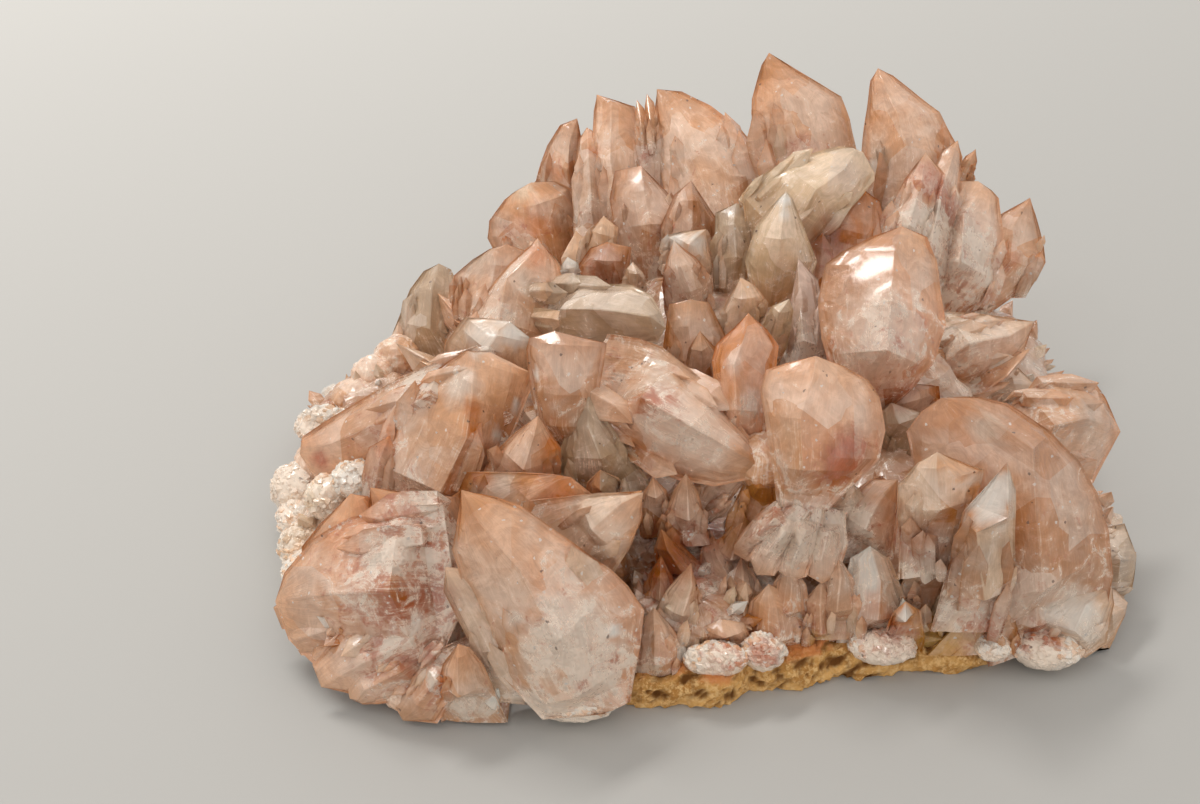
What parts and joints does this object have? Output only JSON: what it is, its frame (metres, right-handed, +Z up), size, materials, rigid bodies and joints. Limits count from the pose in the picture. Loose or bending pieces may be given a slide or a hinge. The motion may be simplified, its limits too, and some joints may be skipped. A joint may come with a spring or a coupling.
{
  "type": "calcite cluster",
  "caption": "Free-standing cluster of flattened, pointed pink calcite crystals grown together on a thin flat crust of ochre limonite, for display or mineral scenes",
  "frame": {"origin": "middle of the underside, on the level that the specimen rests on", "axes": "+X along the specimen's long side, from the fanned crystals to the great rounded crystals; +Y to the two tall spires at the back; +Z up"},
  "size_m": [0.1132, 0.101, 0.044],
  "materials": {
    "pink_calcite": "glossy, translucent",
    "ochre_limonite": "rough"
  },
  "bodies": {
    "root": {"calcite_crystals": "pink_calcite", "ochre_matrix": "ochre_limonite"}
  },
  "joints": []
}
